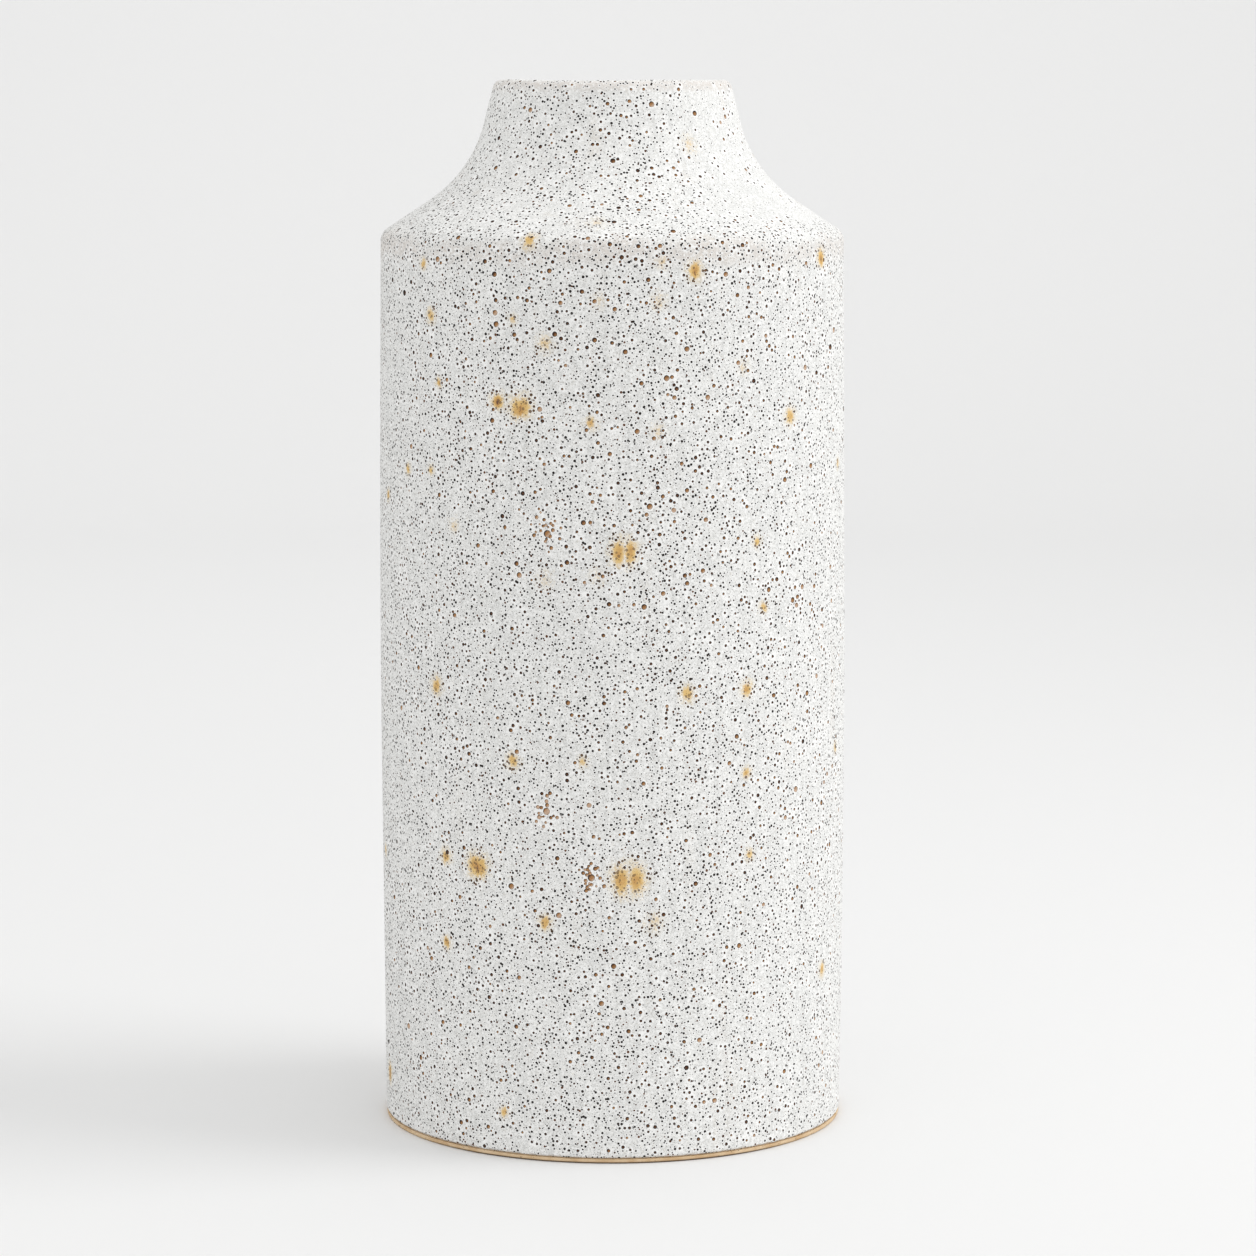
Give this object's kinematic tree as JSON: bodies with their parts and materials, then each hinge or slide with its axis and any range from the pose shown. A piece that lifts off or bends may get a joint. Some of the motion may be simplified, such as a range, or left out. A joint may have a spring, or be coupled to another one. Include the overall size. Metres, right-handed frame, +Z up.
{
  "type": "stoneware bottle vase",
  "caption": "Tall free-standing stoneware vase: straight cylinder, sloped shoulder, short flared neck and open mouth, with white crater glaze over a bare clay foot.",
  "frame": {"origin": "middle of the foot, on the surface the vase stands on", "axes": "+Z up along the vase's axis of turning, out of the mouth; +X to the right and +Y away when the vase is seen from its front"},
  "size_m": [0.2044, 0.2044, 0.4569],
  "materials": {
    "bare_clay": "matt, toasted buff stoneware",
    "crater_glaze": "matt white glaze with burst bubbles, pinholes and ochre iron spots",
    "liner_glaze": "satin off-white"
  },
  "bodies": {
    "root": {"foot_ring": "bare_clay", "floor_slab": "bare_clay", "lower_wall": "bare_clay", "upper_wall": "bare_clay", "shoulder_ring": "bare_clay", "neck_ring": "bare_clay", "lip_coil": "bare_clay", "outer_glaze": "crater_glaze", "liner_glaze": "liner_glaze"}
  },
  "joints": []
}
